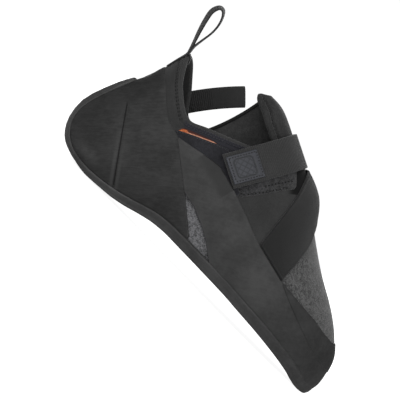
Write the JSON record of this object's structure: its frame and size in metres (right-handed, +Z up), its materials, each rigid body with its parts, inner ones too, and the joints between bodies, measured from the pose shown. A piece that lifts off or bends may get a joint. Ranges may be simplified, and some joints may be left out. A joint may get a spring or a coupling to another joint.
{
  "type": "climbing shoe",
  "caption": "Low climbing shoe with a hollow upper on a down-turned last, rubber rands, a sole that wraps the heel, a hook-and-loop strap and pull loops.",
  "frame": {"origin": "on the floor under the middle of the heel, on the outsole's flat heel spot", "axes": "+X to the toe, +Y to the medial side, +Z up; the shoe stands on the floor at Z = 0"},
  "size_m": [0.2518, 0.0946, 0.1476],
  "materials": {
    "outsole": "matte",
    "insole": "matte",
    "upper": "heathered knit",
    "tongue": "padded knit",
    "heel_rand": "brushed",
    "toe_rand": "smooth matte",
    "collar_band": "sewn cuff",
    "quarter_trim": "smooth",
    "strap_pad": "loop pile",
    "lower_strap": "elastic webbing",
    "closure_strap": "ribbed webbing",
    "strap_patch": "moulded",
    "heel_loop": "woven tape",
    "side_loop": "woven tape"
  },
  "bodies": {
    "root": {"outsole": "outsole", "insole": "insole", "upper": "upper", "tongue": "tongue", "heel_rand": "heel_rand", "toe_rand": "toe_rand", "collar_band": "collar_band", "quarter_trim": "quarter_trim", "strap_pad": "strap_pad", "lower_strap": "lower_strap", "closure_strap": "closure_strap", "strap_patch": "strap_patch", "heel_loop": "heel_loop", "side_loop": "side_loop"}
  },
  "joints": []
}
